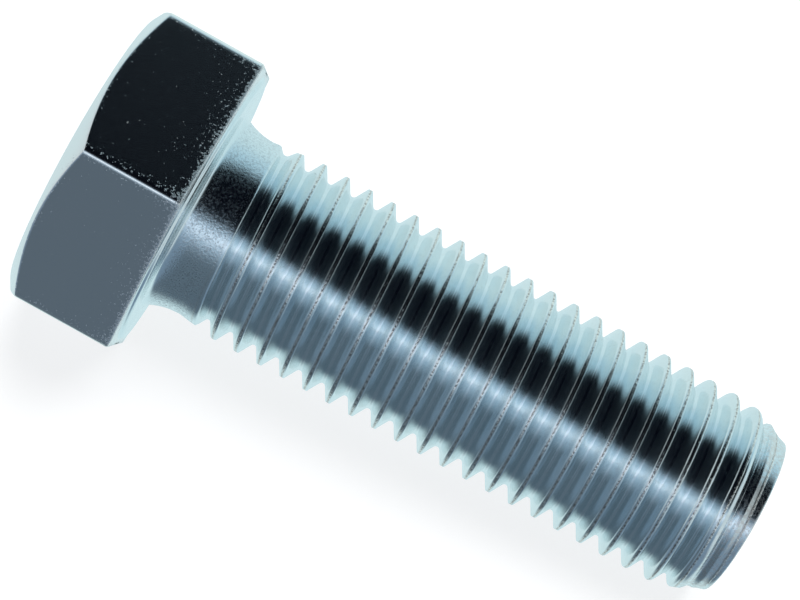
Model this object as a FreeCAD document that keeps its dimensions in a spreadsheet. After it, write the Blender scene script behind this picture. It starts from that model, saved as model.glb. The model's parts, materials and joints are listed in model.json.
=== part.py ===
"""Hex bolt, M20 x 2.5, 60 mm under the head, threaded over its whole length.

A bolt of this kind is one forged piece of steel, so the model is one body and one solid.

Frame, in millimetres: the origin is the centre of the bearing face under the head. +X runs down
the thread to the tip and +Z is up. The bolt lies on its side, with two of its flats level.
"""

import FreeCAD, Part
import os
from math import atan2, cos, degrees, radians, sin, tan

import Sketcher

# Driving dimensions: alias, value, what it is. Lengths are in millimetres and angles in degrees.
DIMENSIONS = [
    ("across_flats", 30, "hexagon across flats"),
    ("head_height", 12.1, "top of the head to the bearing face"),
    ("corner_radius", 0.9, "rounding of the six upright edges of the head"),
    ("crown_diameter", 28.2, "flat circle left on top of the head"),
    ("crown_angle", 30, "slope of the chamfer on top of the head"),
    ("washer_diameter", 28.2, "washer face under the hexagon"),
    ("washer_height", 0.4, "how far the washer face stands off the hexagon"),
    ("seat_diameter", 21.6, "where the fillet under the head meets the bearing face"),
    ("seat_radius", 0.9, "tight end of the fillet, at the bearing face"),
    ("fillet_length", 3.3, "bearing face to the end of the fillet"),
    ("neck_diameter", 18.7, "unthreaded neck, near the diameter that a thread is rolled on"),
    ("neck_end", 3.5, "bearing face to the end of the neck"),
    ("crest_start", 7.3, "bearing face to the first full crest"),
    ("major_diameter", 19.8, "over the crests, 20 nominal"),
    ("flank_angle", 60, "between the thread's two flanks"),
    ("root_radius", 0.361, "rounding of the groove's bottom, 0.144 of the pitch"),
    ("thread_pitch", 2.5, "crest to crest"),
    ("basic_half_width", 1.094, "half the groove's width at the nominal diameter, 7/16 of the pitch"),
    ("nominal_diameter", 20, "nominal thread diameter"),
    ("groove_reach", 20.6, "diameter that the cutting profile reaches, clear of the crests"),
    ("groove_start", 5.375, "bearing face to the middle of the groove where it begins"),
    ("groove_overrun", 3, "how far the groove runs on past the tip"),
    ("bolt_length", 60.2, "bearing face to the tip, 60 nominal"),
    ("point_start", 56.6, "bearing face to the start of the point's chamfer"),
    ("shoulder_start", 59.3, "bearing face to the end of the point's chamfer"),
    ("shoulder_diameter", 16.5, "where the point's chamfer ends"),
    ("point_diameter", 16, "flat end of the point"),
]
SECTORS = 9  # equal wedges that the threaded blank is made of, so that each crest has short faces
NODE = "hex_bolt"


def make_sheet(doc):
    """The spreadsheet that holds the driving dimensions."""
    sheet = doc.addObject("Spreadsheet::Sheet", "Dimensions")
    for row, (alias, value, meaning) in enumerate(DIMENSIONS, start=1):
        sheet.set(f"A{row}", alias)
        sheet.set(f"B{row}", str(value))
        sheet.set(f"C{row}", meaning)
        sheet.setAlias(f"B{row}", alias)
    doc.recompute()
    return sheet


def origin_part(body, role):
    """The origin plane or axis of a body that has this role."""
    return next(item for item in body.Origin.OriginFeatures if item.Role == role)


def new_sketch(body, name, plane_role):
    """An empty sketch on one of the body's origin planes."""
    sketch = body.newObject("Sketcher::SketchObject", name)
    sketch.AttachmentSupport = [(origin_part(body, plane_role), "")]
    sketch.MapMode = "FlatFace"
    return sketch


def bind(sketch, constraint, expression):
    """Add a dimension to a sketch and tie it to the spreadsheet."""
    index = sketch.addConstraint(constraint)
    sketch.setExpression(f"Constraints[{index}]", expression)


def place_point(sketch, edge, end, along, across):
    """Tie one end of an edge to a distance along and a distance across, each an expression."""
    bind(sketch, Sketcher.Constraint("DistanceX", -1, 1, edge, end, 1.0), along)
    bind(sketch, Sketcher.Constraint("DistanceY", -1, 1, edge, end, 1.0), across)


def closed_outline(sketch, corners):
    """Straight edges through corners given as (x, y, x expression, y expression)."""
    points = [FreeCAD.Vector(x, y, 0) for x, y, _, _ in corners]
    edges = []
    for index, point in enumerate(points):
        after = points[(index + 1) % len(points)]
        edges.append(sketch.addGeometry(Part.LineSegment(point, after), False))
    for index, edge in enumerate(edges):
        following = edges[(index + 1) % len(edges)]
        sketch.addConstraint(Sketcher.Constraint("Coincident", edge, 2, following, 1))
        place_point(sketch, edge, 1, corners[index][2], corners[index][3])
    return edges


def revolved(body, kind, name, sketch, turn=360):
    """Turn a sketch about the bolt's axis, by this many degrees."""
    feature = body.newObject(kind, name)
    feature.Profile = sketch
    feature.ReferenceAxis = (origin_part(body, "X_Axis"), [""])
    feature.Angle = turn
    return feature


def hexagon_head(body):
    """The hexagon, with flats facing +Z and -Z, from the washer face's step to the top."""
    sketch = new_sketch(body, "HexagonSketch", "YZ_Plane")
    sketch.setExpression(".AttachmentOffset.Base.z", "-Dimensions.washer_height")
    flat, corner, side = 15.0, 17.3, 8.7
    flat_at = "Dimensions.across_flats / 2"
    corner_at = "Dimensions.across_flats / sqrt(3)"
    side_at = "Dimensions.across_flats / (2 * sqrt(3))"
    closed_outline(sketch, [
        (corner, 0, corner_at, "0"),
        (side, flat, side_at, flat_at),
        (-side, flat, f"-{side_at}", flat_at),
        (-corner, 0, f"-{corner_at}", "0"),
        (-side, -flat, f"-{side_at}", f"-{flat_at}"),
        (side, -flat, side_at, f"-{flat_at}"),
    ])
    pad = body.newObject("PartDesign::Pad", "Hexagon")
    pad.Profile = sketch
    pad.setExpression("Length", "Dimensions.head_height - Dimensions.washer_height")
    pad.Reversed = True
    return pad


def upright_edges(shape):
    """Names of the straight edges that run along the bolt's axis."""
    names = []
    for index, edge in enumerate(shape.Edges, start=1):
        run = edge.Vertexes[-1].Point - edge.Vertexes[0].Point
        if abs(run.x) > 0.99 * run.Length:
            names.append(f"Edge{index}")
    return names


def rounded_corners(body, pad):
    """The six upright edges of the head, slightly rounded."""
    fillet = body.newObject("PartDesign::Fillet", "RoundedCorners")
    fillet.Base = (pad, upright_edges(pad.Shape))
    fillet.setExpression("Radius", "Dimensions.corner_radius")
    return fillet


def crown_chamfer(body):
    """The cone that takes the corners off the top of the head."""
    sketch = new_sketch(body, "CrownSketch", "XZ_Plane")
    crown = "Dimensions.crown_diameter / 2"
    top = "-Dimensions.head_height"
    clear = "Dimensions.across_flats"
    foot = f"{top} + ({clear} - {crown}) * tan(Dimensions.crown_angle * 1 deg)"
    closed_outline(sketch, [
        (-12.1, 14.1, top, crown),
        (-2.9, 30.0, foot, clear),
        (-12.1, 30.0, top, clear),
    ])
    return revolved(body, "PartDesign::Groove", "CrownChamfer", sketch)


def arc(sketch, centre, radius, start, end):
    """An arc that runs anticlockwise from one angle to another, in degrees."""
    circle = Part.Circle(FreeCAD.Vector(*centre, 0), FreeCAD.Vector(0, 0, 1), radius)
    return sketch.addGeometry(Part.ArcOfCircle(circle, radians(start), radians(end)), False)


def line(sketch, start, end):
    """A straight edge."""
    return sketch.addGeometry(Part.LineSegment(FreeCAD.Vector(*start, 0), FreeCAD.Vector(*end, 0)), False)


def join(sketch, *edges):
    """Tie the end of each edge to the start of the next."""
    for before, after in zip(edges, edges[1:]):
        sketch.addConstraint(Sketcher.Constraint("Coincident", before, 2, after, 1))


def seat_and_neck(body):
    """The washer face, the two-radius fillet and the plain neck, as one turned shape."""
    sketch = new_sketch(body, "SeatSketch", "XZ_Plane")
    step, rim, seat, tight, run, neck, end = 0.4, 14.1, 10.8, 0.9, 3.3, 9.35, 3.5
    wide = ((run - tight) ** 2 + (seat - neck) ** 2 - tight**2) / (2 * (seat - neck - tight))
    swing = degrees(atan2(neck + wide - seat, run - tight)) + 180
    back = line(sketch, (-step, 0), (-step, rim))
    side = line(sketch, (-step, rim), (0, rim))
    face = line(sketch, (0, rim), (0, seat))
    tight_arc = arc(sketch, (tight, seat), tight, 180, swing)
    wide_arc = arc(sketch, (run, neck + wide), wide, swing, 270)
    plain = line(sketch, (run, neck), (end, neck))
    inner = line(sketch, (end, neck), (end, 0))
    axis = line(sketch, (end, 0), (-step, 0))
    join(sketch, back, side, face, tight_arc)
    join(sketch, wide_arc, plain, inner, axis, back)
    sketch.addConstraint(Sketcher.Constraint("Tangent", tight_arc, 2, wide_arc, 1))
    sketch.addConstraint(Sketcher.Constraint("Horizontal", tight_arc, 1, tight_arc, 3))
    sketch.addConstraint(Sketcher.Constraint("Vertical", wide_arc, 2, wide_arc, 3))
    bind(sketch, Sketcher.Constraint("Radius", tight_arc, tight), "Dimensions.seat_radius")
    place_point(sketch, back, 1, "-Dimensions.washer_height", "0")
    place_point(sketch, side, 1, "-Dimensions.washer_height", "Dimensions.washer_diameter / 2")
    place_point(sketch, face, 1, "0", "Dimensions.washer_diameter / 2")
    place_point(sketch, face, 2, "0", "Dimensions.seat_diameter / 2")
    place_point(sketch, plain, 1, "Dimensions.fillet_length", "Dimensions.neck_diameter / 2")
    place_point(sketch, inner, 1, "Dimensions.neck_end", "Dimensions.neck_diameter / 2")
    place_point(sketch, axis, 1, "Dimensions.neck_end", "0")
    return revolved(body, "PartDesign::Revolution", "SeatAndNeck", sketch)


def threaded_blank(body):
    """The round blank for the thread: a wedge of it, repeated round the axis."""
    sketch = new_sketch(body, "BlankSketch", "XZ_Plane")
    crest = "Dimensions.major_diameter / 2"
    closed_outline(sketch, [
        (3.5, 0, "Dimensions.neck_end", "0"),
        (3.5, 9.35, "Dimensions.neck_end", "Dimensions.neck_diameter / 2"),
        (7.3, 9.9, "Dimensions.crest_start", crest),
        (56.6, 9.9, "Dimensions.point_start", crest),
        (59.3, 8.25, "Dimensions.shoulder_start", "Dimensions.shoulder_diameter / 2"),
        (60.2, 8, "Dimensions.bolt_length", "Dimensions.point_diameter / 2"),
        (60.2, 0, "Dimensions.bolt_length", "0"),
    ])
    wedge = revolved(body, "PartDesign::Revolution", "BlankWedge", sketch, 360 / SECTORS)
    wedge.Refine = False
    body.Document.recompute()
    ring = body.newObject("PartDesign::PolarPattern", "ThreadedBlank")
    ring.Originals = [wedge]
    ring.Axis = (origin_part(body, "X_Axis"), [""])
    ring.Angle = 360
    ring.Occurrences = SECTORS
    ring.Refine = False
    body.Tip = ring
    return ring


def thread_groove(body):
    """The right-hand helical groove: two flanks and a round root, cut on past the tip."""
    sketch = new_sketch(body, "GrooveSketch", "XZ_Plane")
    middle, half, basic, reach, root = 5.375, 1.094, 10.0, 10.3, 0.361
    lean = radians(30)
    centre = basic - half / tan(lean) + root / sin(lean)
    touch_across = root * cos(lean)
    touch_along = centre - root * sin(lean)
    left_wall = line(sketch, (middle - half, reach), (middle - half, basic))
    left_flank = line(sketch, (middle - half, basic), (middle - touch_across, touch_along))
    bottom = arc(sketch, (middle, centre), root, 210, 330)
    right_flank = line(sketch, (middle + touch_across, touch_along), (middle + half, basic))
    right_wall = line(sketch, (middle + half, basic), (middle + half, reach))
    lid = line(sketch, (middle + half, reach), (middle - half, reach))
    join(sketch, left_wall, left_flank)
    join(sketch, right_flank, right_wall, lid, left_wall)
    sketch.addConstraint(Sketcher.Constraint("Tangent", left_flank, 2, bottom, 1))
    sketch.addConstraint(Sketcher.Constraint("Tangent", bottom, 2, right_flank, 1))
    bind(sketch, Sketcher.Constraint("Radius", bottom, root), "Dimensions.root_radius")
    slope = "(90 - Dimensions.flank_angle / 2) * 1 deg"
    bind(sketch, Sketcher.Constraint("Angle", left_flank, -radians(60)), f"-{slope}")
    bind(sketch, Sketcher.Constraint("Angle", right_flank, radians(60)), slope)
    left = "Dimensions.groove_start - Dimensions.basic_half_width"
    right = "Dimensions.groove_start + Dimensions.basic_half_width"
    place_point(sketch, left_wall, 1, left, "Dimensions.groove_reach / 2")
    place_point(sketch, left_wall, 2, left, "Dimensions.nominal_diameter / 2")
    place_point(sketch, right_wall, 1, right, "Dimensions.nominal_diameter / 2")
    place_point(sketch, lid, 1, right, "Dimensions.groove_reach / 2")
    groove = body.newObject("PartDesign::SubtractiveHelix", "ThreadGroove")
    groove.Profile = sketch
    groove.ReferenceAxis = (origin_part(body, "X_Axis"), [""])
    groove.Mode = "pitch-height-angle"
    groove.setExpression("Pitch", "Dimensions.thread_pitch")
    length = "Dimensions.bolt_length - Dimensions.groove_start + Dimensions.groove_overrun"
    groove.setExpression("Height", length)
    groove.LeftHanded = False
    groove.Reversed = False
    groove.Refine = False
    return groove


def recompute(doc):
    """Recompute, and stop at the first object that failed."""
    doc.recompute()
    for item in doc.Objects:
        if "Invalid" in item.State or "Error" in item.State:
            raise RuntimeError(f"{item.Name} failed: {item.State}")


def make_bolt(doc):
    """The bolt as one body, with each cut checked to take material away."""
    body = doc.addObject("PartDesign::Body", "HexBolt")
    body.Label = NODE
    pad = hexagon_head(body)
    recompute(doc)
    rounded_corners(body, pad)
    recompute(doc)
    before = body.Shape.Volume
    crown_chamfer(body)
    recompute(doc)
    print("crown chamfer removes", round(before - body.Shape.Volume, 1), "mm3")
    seat_and_neck(body)
    recompute(doc)
    threaded_blank(body)
    recompute(doc)
    before = body.Shape.Volume
    thread_groove(body)
    recompute(doc)
    print("thread groove removes", round(before - body.Shape.Volume, 1), "mm3")
    if body.Shape.Volume >= before:
        raise RuntimeError("the thread's groove cuts nothing")
    body.Placement = FreeCAD.Placement()
    return body


def main():
    """Build the document and write one STEP file for each sub-part."""
    doc = FreeCAD.newDocument("HexBolt")
    make_sheet(doc)
    bolt = make_bolt(doc)
    shape = bolt.Shape
    if shape.isNull() or not shape.isValid() or len(shape.Solids) != 1:
        raise RuntimeError("the bolt isn't one valid solid")
    box = shape.BoundBox
    print("box", [round(v, 3) for v in (box.XMin, box.YMin, box.ZMin, box.XMax, box.YMax, box.ZMax)])
    print("volume", round(shape.Volume, 1), "faces", len(shape.Faces))
    os.makedirs("parts", exist_ok=True)
    shape.exportStep(f"parts/{bolt.Label}.step")


main()
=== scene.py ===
"""Looks of the hex bolt: one closed mesh of the forged and rolled piece, in bright zinc plating.

The mesh is worked out in millimetres about the bolt's axis and turned into metres at the end. A
point's place is given by x, along the axis from the bearing face towards the tip, by its radius, and
by its turn round the axis, from +Y towards +Z.
"""

import json
import math

import bpy
import numpy as np
from mathutils import Matrix, Vector


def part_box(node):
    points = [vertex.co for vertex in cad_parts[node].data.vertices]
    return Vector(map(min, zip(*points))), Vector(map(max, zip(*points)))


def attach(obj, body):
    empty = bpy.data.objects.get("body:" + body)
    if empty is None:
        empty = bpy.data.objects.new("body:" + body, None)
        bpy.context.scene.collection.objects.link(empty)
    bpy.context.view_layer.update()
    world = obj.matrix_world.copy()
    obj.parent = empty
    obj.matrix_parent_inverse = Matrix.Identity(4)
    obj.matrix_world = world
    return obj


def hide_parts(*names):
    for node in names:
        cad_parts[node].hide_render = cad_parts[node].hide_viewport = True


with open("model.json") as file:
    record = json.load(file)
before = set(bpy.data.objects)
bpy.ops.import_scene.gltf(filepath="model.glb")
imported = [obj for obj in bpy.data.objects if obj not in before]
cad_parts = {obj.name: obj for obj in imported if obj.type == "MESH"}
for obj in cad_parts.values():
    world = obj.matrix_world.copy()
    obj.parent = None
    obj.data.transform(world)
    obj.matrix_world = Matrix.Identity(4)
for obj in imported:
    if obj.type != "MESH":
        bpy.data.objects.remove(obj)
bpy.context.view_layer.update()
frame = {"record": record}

MM = 0.001

# Sizes that the frame states, in millimetres
NODE = "hex_bolt"
low, high = (np.array(corner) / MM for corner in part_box(NODE))
MOUNTS = {mount["name"]: mount for mount in frame["record"]["mounts"]}
HEAD_TOP = float(low[0])
TIP = float(high[0])
FLAT = float(high[2])
CREST = MOUNTS["thread"]["dims"]["r_mm"]

# Sizes of the head, in millimetres
CORNER_ROUNDING = 0.9
CROWN_RADIUS = 14.1
CHAMFER_SLOPE = math.tan(math.radians(30))
WASHER_STEP = -0.4
WASHER_RADIUS = 14.1
WASHER_LEAN = 0.15  # how much wider the washer face's side is at its back, and narrower at its front
SEAT_RADIUS = 10.8
SEAT_ROUNDING = 0.9
FILLET_END = 3.3
NECK_RADIUS = 9.35

# Sizes of the thread, in millimetres
PITCH = 2.5
CREST_PHASE = 8.5  # x of one crest where the turn is 0
CREST_HALF_FLAT = 0.214
FLANK_SLOPE = math.sqrt(3)
ROOT_ROUNDING = 0.361
ROOT_CENTRE = 8.827
ROOT_HALF_ARC = ROOT_ROUNDING * math.cos(math.radians(30))
GROOVE_FADE = (3.45, 5.85)  # the rolled groove deepens from nothing to full between these
LAST_RING = TIP - 0.3  # beyond the last trace of the groove in the point's chamfer
POINT_RADIUS = 8.0
TIP_DISH = 0.35  # how far the middle of the end face lies inside its rim


def smoothstep(value, start, end):
    """0 before start, 1 after end, and smooth between them."""
    t = np.clip((value - start) / (end - start), 0, 1)
    return t * t * (3 - 2 * t)


def smooth_min(a, b, blend):
    """The lesser of a and b, rounded over about blend where they cross."""
    h = np.clip(0.5 + 0.5 * (b - a) / blend, 0, 1)
    return b + (a - b) * h - blend * h * (1 - h)


# ---- the thread ----

def crest_envelope(x):
    """Radius over the crests: it climbs out of the neck and falls away towards the tip."""
    spots = [
        (3.4, CREST - NECK_RADIUS), (4.95, 0.36), (6.1, 0.27), (7.4, 0),
        (51.0, 0), (54.9, 0.06), (56.3, 0.26), (57.05, 0.52),
        (58.05, 0.88), (58.75, 1.33), (59.3, 1.62), (TIP, CREST - POINT_RADIUS),
    ]
    along, below_crest = zip(*spots)
    return CREST - np.interp(x, along, below_crest)


def from_groove(x, turn):
    """Distance along the axis from the middle of the nearest groove, negative on the head's side."""
    middle = CREST_PHASE + PITCH / 2 + PITCH * turn / (2 * math.pi)
    return (x - middle + PITCH / 2) % PITCH - PITCH / 2


def groove_radius(offset):
    """Radius of the groove's two flanks and round root, at an offset from its middle."""
    away = np.abs(offset)
    flank = CREST - (PITCH / 2 - away - CREST_HALF_FLAT) * FLANK_SLOPE
    inside = np.clip(ROOT_ROUNDING**2 - away**2, 0, None)
    root = ROOT_CENTRE - np.sqrt(inside)
    return np.where(away < ROOT_HALF_ARC, root, flank)


def thread_radius(x, turn):
    """Radius of the threaded length."""
    offset = from_groove(x, turn)
    envelope = crest_envelope(x)
    blend = 0.03 + 0.36 * smoothstep(x, 44, 57)
    cut = smooth_min(envelope, groove_radius(offset), blend)
    fade = smoothstep(x - offset, *GROOVE_FADE)
    return envelope - fade * (envelope - cut)


# ---- the head ----

def turn_off_corner(turn):
    """Turn from the nearest corner of the hexagon."""
    return (turn + math.pi / 6) % (math.pi / 3) - math.pi / 6


def hexagon_radius(turn):
    """Distance from the axis to the hexagon's outline, with its corners rounded."""
    off_corner = turn_off_corner(turn)
    flat = FLAT / np.cos(math.pi / 6 - np.abs(off_corner))
    centre = (FLAT - CORNER_ROUNDING) / math.cos(math.pi / 6)
    inside = CORNER_ROUNDING**2 - (centre * np.sin(off_corner)) ** 2
    rounded = centre * np.cos(off_corner) + np.sqrt(np.clip(inside, 0, None))
    meets = math.atan(CORNER_ROUNDING * 0.5 / (centre + CORNER_ROUNDING * math.cos(math.pi / 6)))
    return np.where(np.abs(off_corner) < meets, rounded, flat)


def chamfer_foot(outline):
    """Where along the axis the crown's chamfer meets the hexagon's sides."""
    return HEAD_TOP + (outline - CROWN_RADIUS) * CHAMFER_SLOPE


def eased(before, corner, after, cut, steps=4):
    """Points that take a corner of the profile in a smooth curve that starts cut before it."""
    to_before = before - corner
    to_after = after - corner
    length_before = np.linalg.norm(to_before, axis=1, keepdims=True)
    length_after = np.linalg.norm(to_after, axis=1, keepdims=True)
    cut_before = np.minimum(cut, 0.4 * length_before)
    cut_after = np.minimum(cut, 0.4 * length_after)
    start = corner + to_before / length_before * cut_before
    end = corner + to_after / length_after * cut_after
    rows = []
    for t in np.linspace(0, 1, steps):
        rows.append(start * (1 - t) ** 2 + corner * 2 * t * (1 - t) + end * t**2)
    return rows


def fillet_profile():
    """The fillet from the bearing face to the neck: a tight arc, then a wide one tangent to it."""
    drop = SEAT_RADIUS - NECK_RADIUS
    run = FILLET_END - SEAT_ROUNDING
    wide = (run**2 + drop**2 - SEAT_ROUNDING**2) / (2 * (drop - SEAT_ROUNDING))
    swing = math.atan2(run, NECK_RADIUS + wide - SEAT_RADIUS)
    tight_arc = np.linspace(0, math.pi / 2 - swing, 7)
    wide_arc = np.linspace(swing, 0, 8)[1:]
    points = []
    for t in tight_arc:
        points.append((SEAT_ROUNDING * (1 - math.cos(t)), SEAT_RADIUS - SEAT_ROUNDING * math.sin(t)))
    for t in wide_arc:
        points.append((FILLET_END - wide * math.sin(t), NECK_RADIUS + wide * (1 - math.cos(t))))
    return points


def head_rows(turns):
    """Rows of (x, radius) pairs, one per column, from the top of the head to the end of the fillet."""
    outline = hexagon_radius(turns)
    ones = np.ones_like(turns)

    def spot(x, radius):
        return np.stack([x * ones, radius * ones], axis=1)

    corners = [
        (spot(HEAD_TOP, 0), 0),
        (spot(HEAD_TOP, CROWN_RADIUS), 0.25),
        (spot(chamfer_foot(outline), outline), 0.2),
        (spot(WASHER_STEP, outline), 0.3),
        (spot(WASHER_STEP, WASHER_RADIUS + WASHER_LEAN), 0.15),
        (spot(0, WASHER_RADIUS - WASHER_LEAN), 0.25),
        (spot(0, SEAT_RADIUS), 0),
    ]
    # where extra rows go on the run up to each corner, as shares of that run
    run_shares = [
        None,
        (0.15, 0.3, 0.5, 0.7, 0.85, 0.95),
        (0.5,),
        (0.05, 0.2, 0.4, 0.6, 0.8, 0.94),
        (0.3, 0.7),
        (0.5,),
        (0.12, 0.5, 0.9),
    ]
    rows = []
    for index in range(1, len(corners)):
        before, corner = corners[index - 1][0], corners[index][0]
        for share in run_shares[index]:
            rows.append(before + (corner - before) * share)
        if index < len(corners) - 1:
            rows += eased(before, corner, corners[index + 1][0], corners[index][1])
    rows += [spot(x, radius) for x, radius in fillet_profile()]
    return rows


def point_rows(turns):
    """Rows of (x, radius) pairs from the last ring on the point's chamfer to the end's middle."""
    ones = np.ones_like(turns)

    def spot(x, radius):
        return np.stack([x * ones, radius * ones], axis=1)

    ring = spot(LAST_RING, crest_envelope(LAST_RING))
    rim = spot(TIP, POINT_RADIUS)
    middle = spot(TIP - TIP_DISH, 0)
    rows = [ring] + eased(ring, rim, middle, 0.22)
    for share in (0.06, 0.2, 0.4, 0.6, 0.8, 0.93):
        rows.append(rim + (middle - rim) * share)
    return rows


# ---- the mesh ----

def column_turns():
    """Turns of the mesh's columns: close together at the hexagon's corners."""
    from_corner = (0.28, 0.56, 0.84, 1.25, 2.2, 4.2, 7, 10, 13.2, 16.5, 20, 23.3, 26.6)
    half = np.array(from_corner)
    sector = np.concatenate([[0], half, [30], 60 - half[::-1]])
    return np.radians(np.concatenate([sector + 60 * k for k in range(6)]))


def helix_offsets():
    """Where the rows of one pitch lie, from one crest to the next: close at crests and roots."""
    crest = (0, 0.06, 0.12, 0.19, 0.24)
    flank = (0.34, 0.55, 0.76)
    root = (0.92, 1.03, 1.14, PITCH / 2)
    half = np.array(crest + flank + root)
    return np.concatenate([half, PITCH - half[-2:0:-1]])


class Skin:
    """Vertices and faces of the bolt as they are made."""

    def __init__(self, turns):
        self.turns = turns
        self.x, self.radius, self.turn = [], [], []
        self.faces = []

    def add(self, x, radius, turn):
        """Add vertices and return the number of the first."""
        first = len(self.x)
        self.x += list(x)
        self.radius += list(radius)
        self.turn += list(turn)
        return first

    def add_ring(self, row):
        """Add one row, a vertex for each column."""
        return self.add(row[:, 0], row[:, 1], self.turns)

    def join_rings(self, before, after):
        """Quads between two rings, the second nearer the tip."""
        count = len(self.turns)
        for j in range(count):
            k = (j + 1) % count
            self.faces.append((before + j, before + k, after + k, after + j))

    def close(self, ring, x, outward):
        """Triangles from a ring to one vertex on the axis, outward 1 at the tip and -1 at the top."""
        middle = self.add([x], [0.0], [0.0])
        count = len(self.turns)
        for j in range(count):
            pair = (ring + j, ring + (j + 1) % count)
            self.faces.append((*pair[::outward], middle))


def add_thread(skin, first_ring, first_x, last_ring, last_x):
    """The helical rows between two rings. Every column keeps the rows that lie between them."""
    offsets = helix_offsets()
    per_pitch = len(offsets)
    gap = 0.035
    lead = PITCH * skin.turns / (2 * math.pi)
    pitches = np.arange(-4, 26)
    numbers = np.arange(pitches[0] * per_pitch, (pitches[-1] + 1) * per_pitch)
    places = CREST_PHASE + (pitches[:, None] * PITCH + offsets[None, :]).ravel()
    columns = []
    for j, turn in enumerate(skin.turns):
        x = places + lead[j]
        kept = (x > first_x + gap) & (x < last_x - gap)
        x = x[kept]
        start = skin.add(x, thread_radius(x, turn), np.full(len(x), turn))
        columns.append((int(numbers[kept][0]), int(numbers[kept][-1]), start))

    def vertex(column, number):
        return column[2] + number - column[0]

    count = len(columns)
    for j in range(count):
        left, right = columns[j], columns[(j + 1) % count]
        if j == count - 1:
            # one turn on, the same helical row is a whole pitch further along
            right = (right[0] - per_pitch, right[1] - per_pitch, right[2])
        k = (j + 1) % count
        start, end = max(left[0], right[0]), min(left[1], right[1])
        low_left, low_right = first_ring + j, first_ring + k
        high_left, high_right = last_ring + j, last_ring + k
        for number in range(right[0], start):
            skin.faces.append((low_left, vertex(right, number), vertex(right, number + 1)))
        skin.faces.append((low_left, low_right, vertex(right, right[0])))
        skin.faces.append((low_left, vertex(right, start), vertex(left, start)))
        for number in range(start, end):
            skin.faces.append((
                vertex(left, number), vertex(right, number),
                vertex(right, number + 1), vertex(left, number + 1),
            ))
        for number in range(end, left[1]):
            skin.faces.append((vertex(left, number), high_right, vertex(left, number + 1)))
        skin.faces.append((vertex(left, end), vertex(right, end), high_right))
        skin.faces.append((vertex(left, left[1]), high_right, high_left))


def build_skin():
    """The whole bolt, head first."""
    turns = column_turns()
    skin = Skin(turns)
    rings = [skin.add_ring(row) for row in head_rows(turns)]
    for before, after in zip(rings, rings[1:]):
        skin.join_rings(before, after)
    skin.close(rings[0], HEAD_TOP, -1)
    point = point_rows(turns)
    point_rings = [skin.add_ring(row) for row in point]
    for before, after in zip(point_rings, point_rings[1:]):
        skin.join_rings(before, after)
    skin.close(point_rings[-1], TIP - TIP_DISH, 1)
    add_thread(skin, rings[-1], FILLET_END, point_rings[0], LAST_RING)
    return skin


def corner_distance(radius, turn):
    """Distance along the outline from the nearest upright corner of the head."""
    return radius * np.abs(np.sin(turn_off_corner(turn)))


def below_chamfer(x, turn):
    """1 on the hexagon's sides and 0 on the chamfer over them."""
    return smoothstep(x - chamfer_foot(hexagon_radius(turn)), -0.1, 0.1)


def head_edges(x, radius, turn):
    """1 along the head's edges and 0 a millimetre away: its corners, its rim and its chamfer's foot."""
    from_corner = corner_distance(radius, turn)
    outline = hexagon_radius(turn)
    upright = 0.7 * (1 - smoothstep(from_corner, 0.35, 1.1)) * smoothstep(from_corner, 0.1, 0.4)
    rim = 1 - smoothstep(np.abs(x - WASHER_STEP), 0.1, 0.6)
    foot = 0.6 * (1 - smoothstep(np.abs(x - chamfer_foot(outline)), 0.1, 0.4))
    on_side = radius > outline - 0.35
    return np.maximum(np.maximum(upright, rim), foot) * on_side


def paint(mesh, name, values):
    """Keep one number per vertex, for the material to read."""
    layer = mesh.attributes.new(name, "FLOAT", "POINT")
    layer.data.foreach_set("value", np.asarray(values, np.float32))


def paint_regions(mesh, x, radius, turn):
    """The regions that the material treats differently, each from 0 to 1."""
    offset = from_groove(x, turn)
    off_crest = PITCH / 2 - np.abs(offset)
    threaded = smoothstep(x, GROOVE_FADE[0], GROOVE_FADE[1] + 1) * (x < TIP - 0.5)
    paint(mesh, "crest", (1 - smoothstep(off_crest, 0.04, 0.16)) * threaded)
    paint(mesh, "side", smoothstep(offset, 0.2, 1.0) * threaded)
    head = x < WASHER_STEP + 0.01
    paint(mesh, "head", head)
    # a lighter plating colour along the upright corners: partly burnished plating, partly a painted
    # highlight line
    corner_line = 1 - smoothstep(corner_distance(radius, turn), 0.12, 0.38)
    paint(mesh, "burnish_and_highlight", corner_line * below_chamfer(x, turn) * head)
    end_face = 1 - smoothstep(radius, POINT_RADIUS - 0.4, POINT_RADIUS)
    paint(mesh, "point", smoothstep(x, 56.9, 58.3) * (1 - end_face))
    paint(mesh, "edge", head_edges(x, radius, turn) * head)
    paint(mesh, "wear", (1 - smoothstep(np.abs(x - WASHER_STEP), 0.2, 3.5)) * head)
    paint(mesh, "neck", smoothstep(x, 0.2, 0.9) * (1 - smoothstep(x, 3.6, 5.5)))


def make_bolt():
    """The bolt's mesh object, with the attributes that its material reads."""
    skin = build_skin()
    x, radius, turn = (np.array(values) for values in (skin.x, skin.radius, skin.turn))
    points = np.stack([x, radius * np.cos(turn), radius * np.sin(turn)], axis=1) * MM
    mesh = bpy.data.meshes.new("hex_bolt_steel")
    mesh.from_pydata(points.tolist(), [], skin.faces)
    mesh.shade_smooth()
    paint_regions(mesh, x, radius, turn)
    mesh.update()
    bolt = bpy.data.objects.new("hex_bolt_steel", mesh)
    bpy.context.scene.collection.objects.link(bolt)
    return bolt


# ---- materials ----

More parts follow.
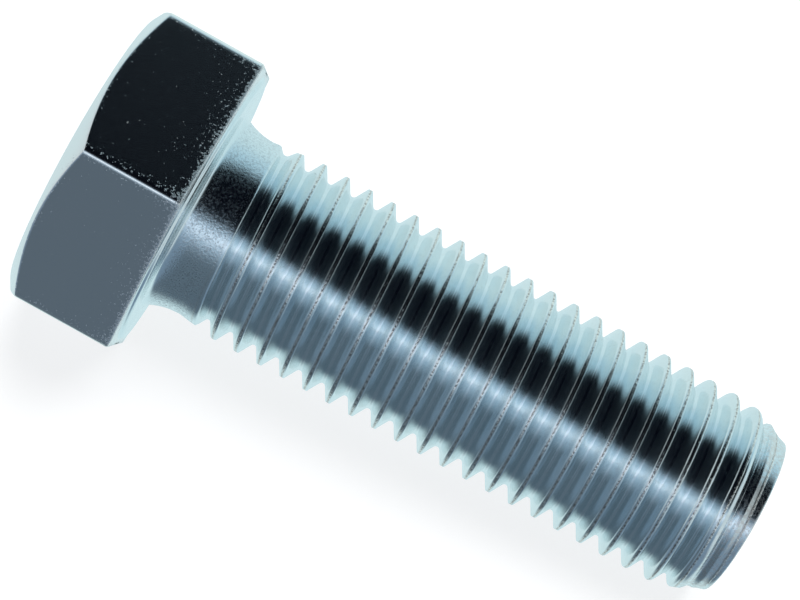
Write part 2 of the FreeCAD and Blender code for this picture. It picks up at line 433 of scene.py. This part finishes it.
class Nodes:
    """A small helper that writes a node tree as expressions."""

    def __init__(self, tree):
        self.tree = tree
        tree.nodes.clear()

    def node(self, kind, **settings):
        made = self.tree.nodes.new(kind)
        for name, value in settings.items():
            setattr(made, name, value)
        return made

    def feed(self, socket, value):
        """Link a socket, or set it to a plain value."""
        if isinstance(value, bpy.types.NodeSocket):
            self.tree.links.new(value, socket)
        else:
            socket.default_value = value

    def math(self, operation, *values, clamp=False):
        made = self.node("ShaderNodeMath", operation=operation, use_clamp=clamp)
        for socket, value in zip(made.inputs, values):
            self.feed(socket, value)
        return made.outputs[0]

    def plus(self, first, *others):
        for other in others:
            first = self.math("ADD", first, other)
        return first

    def times(self, first, second):
        return self.math("MULTIPLY", first, second)

    def vector(self, operation, *values):
        made = self.node("ShaderNodeVectorMath", operation=operation)
        for socket, value in zip(made.inputs, values):
            self.feed(socket, value)
        return made.outputs[0]

    def step(self, value, start, end, low=0.0, high=1.0):
        """A smooth step from low to high as value goes from start to end."""
        made = self.node("ShaderNodeMapRange", interpolation_type="SMOOTHSTEP")
        for name, number in (("Value", value), ("From Min", start), ("From Max", end),
                             ("To Min", low), ("To Max", high)):
            self.feed(made.inputs[name], number)
        return made.outputs[0]

    def mix(self, factor, first, second):
        """Mix two colours."""
        made = self.node("ShaderNodeMix", data_type="RGBA")
        self.feed(made.inputs[0], factor)
        self.feed(made.inputs[6], first)
        self.feed(made.inputs[7], second)
        return made.outputs[2]

    def noise(self, vector, scale, detail=3.0, roughness=0.55, w=None):
        made = self.node("ShaderNodeTexNoise", noise_dimensions="3D" if w is None else "4D")
        self.feed(made.inputs["Vector"], vector)
        if w is not None:
            self.feed(made.inputs["W"], w)
        made.inputs["Scale"].default_value = scale
        made.inputs["Detail"].default_value = detail
        made.inputs["Roughness"].default_value = roughness
        return made.outputs["Fac"]

    def attribute(self, name):
        return self.node("ShaderNodeAttribute", attribute_name=name).outputs["Fac"]


def rgb(red, green, blue):
    return (red, green, blue, 1.0)


def zinc_patterns(n):
    """Patterns and regions of the zinc, as a dictionary of sockets."""
    place = n.node("ShaderNodeTexCoord").outputs["Object"]
    millimetres = n.vector("SCALE", place)
    millimetres.node.inputs["Scale"].default_value = 1 / MM
    split = n.node("ShaderNodeSeparateXYZ")
    n.feed(split.inputs[0], millimetres)
    _, y, z = split.outputs
    radius = n.math("SQRT", n.plus(n.times(y, y), n.times(z, z)))
    names = ("crest", "side", "head", "neck", "edge", "burnish_and_highlight", "point", "wear")
    p = {name: n.attribute(name) for name in names}
    p["cloud"] = n.noise(millimetres, 0.16, 4, 0.6)
    p["grain"] = n.noise(millimetres, 2.6, 4, 0.65)
    p["speckle"] = n.noise(millimetres, 4.5, 2, 0.7)
    # drawn marks run round the bolt: they change fast along it and with the radius, slowly round it
    along = n.vector("MULTIPLY", millimetres, (6.0, 0.10, 0.10))
    p["drawn"] = n.noise(along, 1.0, 3, 0.6, w=n.times(radius, 4.0))
    p["neck_rough"] = n.times(p["neck"], n.step(p["speckle"], 0.45, 0.62))
    p["dull_point"] = n.times(p["point"], n.step(p["grain"], 0.40, 0.60))
    # worn specks gather at the edges of the head, where the plating is rubbed
    rub = n.plus(n.times(p["edge"], 0.20), n.times(p["wear"], 0.11))
    p["worn"] = n.step(n.plus(p["speckle"], rub), 0.72, 0.82)
    return p


def zinc_colour(n, p):
    """Pale blue-white, warmer on the head and on one flank, dark and cream specks on the crests."""
    shank = n.mix(n.step(p["cloud"], 0.35, 0.65), rgb(0.78, 0.86, 0.88), rgb(0.84, 0.90, 0.91))
    shank = n.mix(n.times(n.step(p["side"], 0.1, 0.9), 0.30), shank, rgb(0.86, 0.83, 0.78))
    shank = n.mix(n.times(n.step(p["grain"], 0.54, 0.70), 0.25), shank, rgb(0.60, 0.60, 0.58))
    head = n.mix(p["cloud"], rgb(0.86, 0.85, 0.84), rgb(0.90, 0.86, 0.85))
    plating = n.mix(p["head"], shank, head)
    # painted highlight, partly burnished plating: a lighter colour along the upright corners
    plating = n.mix(p["burnish_and_highlight"], plating, rgb(0.99, 0.96, 0.92))
    crest = n.mix(n.step(p["speckle"], 0.42, 0.56), rgb(0.36, 0.31, 0.28), rgb(0.96, 0.90, 0.82))
    colour = n.mix(n.times(p["crest"], 0.9), plating, crest)
    colour = n.mix(n.times(p["neck_rough"], 0.4), colour, rgb(0.50, 0.50, 0.52))
    return n.mix(n.times(p["dull_point"], 0.6), colour, rgb(0.78, 0.70, 0.66))


def zinc_roughness(n, p):
    """Bright all over, duller where it is worn or was never smooth."""
    return n.plus(
        0.15, n.times(p["grain"], 0.05), n.times(p["crest"], 0.08), n.times(p["neck_rough"], 0.14),
        n.times(p["worn"], 0.30), n.times(p["dull_point"], 0.12),
    )


def zinc_relief(n, p):
    """Heights in millimetres: fine grain, drawn marks, rough crests and neck, and worn specks."""
    flats = n.times(p["head"], n.math("SUBTRACT", 1.0, p["edge"], clamp=True))
    shank = n.math("SUBTRACT", 1.0, p["head"], clamp=True)
    return n.plus(
        n.times(p["grain"], n.plus(0.005, n.times(flats, 0.006))),
        n.times(p["drawn"], n.times(shank, 0.010)),
        n.times(n.times(p["speckle"], p["crest"]), 0.07),
        n.times(n.times(p["speckle"], p["neck"]), 0.035),
        n.times(p["worn"], 0.03),
    )


def zinc_material():
    """Bright blue-white zinc plating, browner on the crests and worn through to pale specks on edges."""
    material = bpy.data.materials.new("zinc_plated_steel")
    material.use_nodes = True
    n = Nodes(material.node_tree)
    patterns = zinc_patterns(n)
    bump = n.node("ShaderNodeBump")
    bump.inputs["Strength"].default_value = 0.6
    bump.inputs["Distance"].default_value = MM
    n.feed(bump.inputs["Height"], zinc_relief(n, patterns))
    shader = n.node("ShaderNodeBsdfPrincipled")
    n.feed(shader.inputs["Base Color"], zinc_colour(n, patterns))
    n.feed(shader.inputs["Roughness"], zinc_roughness(n, patterns))
    n.feed(shader.inputs["Normal"], bump.outputs[0])
    shader.inputs["Metallic"].default_value = 1.0
    output = n.node("ShaderNodeOutputMaterial")
    n.feed(output.inputs["Surface"], shader.outputs[0])
    return material


def floor_material():
    """Matt white table that glows by its own emission, painted light that keeps the bolt's shadow pale.
    """
    material = bpy.data.materials.new("white_table")
    material.use_nodes = True
    n = Nodes(material.node_tree)
    place = n.node("ShaderNodeTexCoord").outputs["Object"]
    tone = n.mix(n.noise(place, 30, 3), rgb(0.25, 0.25, 0.25), rgb(0.27, 0.27, 0.27))
    shader = n.node("ShaderNodeBsdfPrincipled")
    n.feed(shader.inputs["Base Color"], tone)
    shader.inputs["Roughness"].default_value = 0.8
    # painted light: the table's own glow lifts the bolt's shadow
    shader.inputs["Emission Color"].default_value = rgb(1.0, 1.0, 1.0)
    shader.inputs["Emission Strength"].default_value = 0.80
    output = n.node("ShaderNodeOutputMaterial")
    n.feed(output.inputs["Surface"], shader.outputs[0])
    return material


# ---- the studio ----

def make_floor():
    """A table that the bolt rests on, by an edge of its head and by a crest near the tip."""
    heel = Vector((WASHER_STEP, 0, -FLAT)) * MM
    toe = Vector((57.0, 0, -(CREST - 0.35))) * MM
    slope = math.atan2(toe.z - heel.z, toe.x - heel.x)
    gap = Vector((0, 0, 0.05)) * MM
    half = 3.0
    corners = [(-half, -half, 0), (half, -half, 0), (half, half, 0), (-half, half, 0)]
    mesh = bpy.data.meshes.new("table")
    mesh.from_pydata(corners, [], [(0, 1, 2, 3)])
    floor = bpy.data.objects.new("table", mesh)
    floor.location = heel - gap
    floor.rotation_euler = (0, -slope, 0)
    mesh.materials.append(floor_material())
    floor.visible_glossy = False
    bpy.context.scene.collection.objects.link(floor)
    return floor


def make_world():
    """A studio all along the bolt: pale walls, a dark ceiling, a window in front and a grey card."""
    world = bpy.data.worlds.new("studio")
    bpy.context.scene.world = world
    world.use_nodes = True
    n = Nodes(world.node_tree)
    direction = n.node("ShaderNodeTexCoord").outputs["Generated"]
    split = n.node("ShaderNodeSeparateXYZ")
    n.feed(split.inputs[0], direction)
    x, y, z = split.outputs
    # the studio is a long tunnel, so its bands go by the angle round the bolt, 0 behind and 90 overhead
    turn = n.math("DEGREES", n.math("ARCTAN2", z, y))
    turn = n.math("MODULO", n.math("ADD", turn, 360.0), 360.0)
    end = n.math("ABSOLUTE", x)

    wall = rgb(0.66, 0.84, 0.88)
    shaded_wall = rgb(0.44, 0.65, 0.76)
    dark = rgb(0.001, 0.0015, 0.004)
    window = rgb(0.66, 0.86, 1.06)
    streak = rgb(1.05, 1.14, 1.26)
    glow = rgb(0.42, 0.56, 0.70)
    grey = rgb(0.102, 0.144, 0.184)
    card_edge = rgb(0.18, 0.26, 0.35)
    end_wall = rgb(0.62, 0.72, 0.76)
    colour = n.mix(n.step(turn, 0, 36), wall, shaded_wall)
    colour = n.mix(n.step(turn, 34, 54), colour, dark)
    colour = n.mix(n.step(turn, 115, 137), colour, window)
    colour = n.mix(n.step(turn, 133, 138), colour, streak)
    colour = n.mix(n.step(turn, 138, 144), colour, glow)
    # the grey is a card in front of the bolt's middle, with light round its two ends
    card = n.mix(n.step(end, 0.42, 0.56), grey, card_edge)
    colour = n.mix(n.step(turn, 142, 168), colour, card)
    colour = n.mix(n.step(turn, 240, 267), colour, wall)
    colour = n.mix(n.step(end, 0.80, 0.95), colour, end_wall)
    seen = n.node("ShaderNodeLightPath").outputs["Is Camera Ray"]
    colour = n.mix(seen, colour, rgb(0.97, 0.975, 0.98))
    shader = n.node("ShaderNodeBackground")
    n.feed(shader.inputs["Color"], colour)
    output = n.node("ShaderNodeOutputWorld")
    n.feed(output.inputs["Surface"], shader.outputs[0])


def make_light():
    """A broad overhead light for the table, which polished metal doesn't mirror."""
    light = bpy.data.lights.new("overhead", "AREA")
    light.shape = "DISK"
    light.size = 0.5
    light.energy = 5.0
    lamp = bpy.data.objects.new("overhead", light)
    lamp.location = (0.02, 0.12, 0.6)
    aim = Vector((0.02, 0, 0)) - lamp.location
    lamp.rotation_euler = aim.to_track_quat("-Z", "Y").to_euler()
    lamp.visible_glossy = False
    bpy.context.scene.collection.objects.link(lamp)


def make_camera():
    """A long lens from above the bolt's side, turned so that the bolt runs down to the right."""
    azimuth, elevation, roll = (math.radians(angle) for angle in (-2.29, 59.87, -31.09))
    target = Vector((21.25, 1.80, 1.02)) * MM
    distance = 265.6 * MM
    towards = Vector((
        math.sin(azimuth) * math.cos(elevation),
        -math.cos(azimuth) * math.cos(elevation),
        math.sin(elevation),
    ))
    data = bpy.data.cameras.new("camera")
    data.lens = 124.84
    data.clip_start = 0.01
    data.clip_end = 20
    camera = bpy.data.objects.new("camera", data)
    facing = (-towards).to_track_quat("-Z", "Y").to_matrix().to_4x4()
    place = Matrix.Translation(target + towards * distance)
    camera.matrix_world = place @ facing @ Matrix.Rotation(-roll, 4, "Z")
    bpy.context.scene.collection.objects.link(camera)
    bpy.context.scene.camera = camera


bpy.context.scene.view_settings.view_transform = "Standard"
make_camera()
make_world()
make_light()
make_floor()
bolt = make_bolt()
bolt.data.materials.append(zinc_material())
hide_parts(NODE)
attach(bolt, "root")
